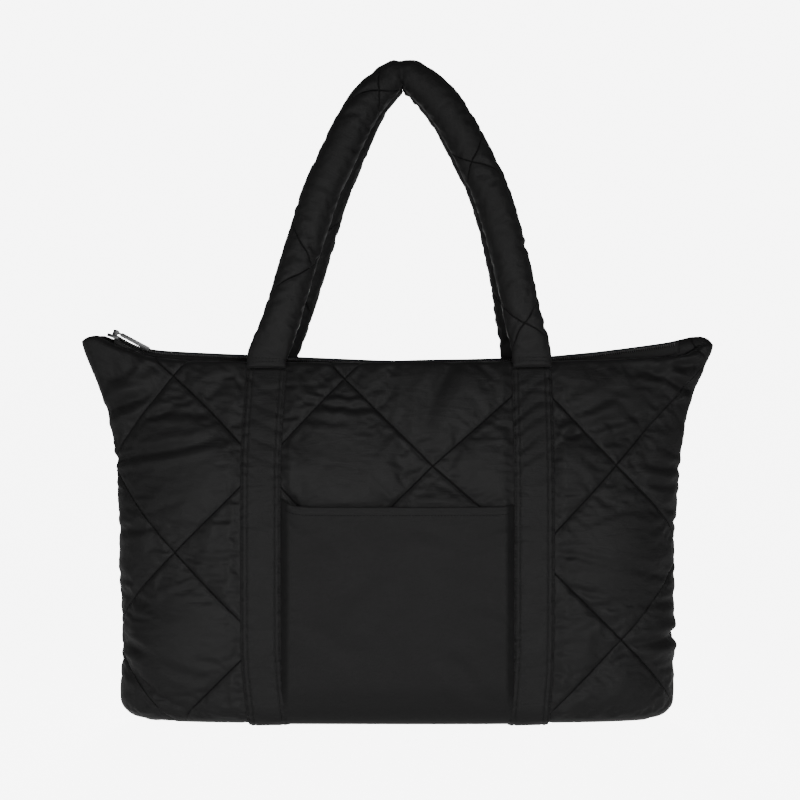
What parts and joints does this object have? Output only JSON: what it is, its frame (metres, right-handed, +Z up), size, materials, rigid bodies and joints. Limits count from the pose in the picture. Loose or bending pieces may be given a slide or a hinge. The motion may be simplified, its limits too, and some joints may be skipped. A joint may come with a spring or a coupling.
{
  "type": "quilted puffer tote bag",
  "caption": "Wide open-top quilted tote bag with padded tube handles, straps under the base, a patch pocket and a zip, standing on its base.",
  "frame": {"origin": "middle of the flat base, on the surface that the bag stands on", "axes": "+X to the right of the front, +Y from the front to the back, +Z up"},
  "size_m": [0.599, 0.1632, 0.6309],
  "materials": {
    "quilted_cloth": "satin black nylon, quilted over padding",
    "band_cloth": "satin black nylon folded flat and topstitched",
    "pocket_cloth": "smooth satin black nylon, not quilted",
    "zip_tape": "matte woven black tape with coil teeth",
    "zip_metal": "gloss black enamel"
  },
  "bodies": {
    "bag": {"front_panel": "quilted_cloth", "back_panel": "quilted_cloth", "base_panel": "quilted_cloth", "strap_band_left": "band_cloth", "strap_band_right": "band_cloth", "handle_front": "quilted_cloth", "handle_back": "quilted_cloth", "front_pocket": "pocket_cloth", "zip_tape_front": "zip_tape", "zip_tape_back": "zip_tape", "zip_slider": "zip_metal"},
    "pull": {"zip_pull": "zip_metal"}
  },
  "joints": [
    {"name": "pull_swing", "type": "hinge", "parent": "bag", "child": "pull", "pos_m": [-0.27049, 0, 0.36964], "axis": [0, -1, 0], "range_deg": [0, 150]}
  ]
}
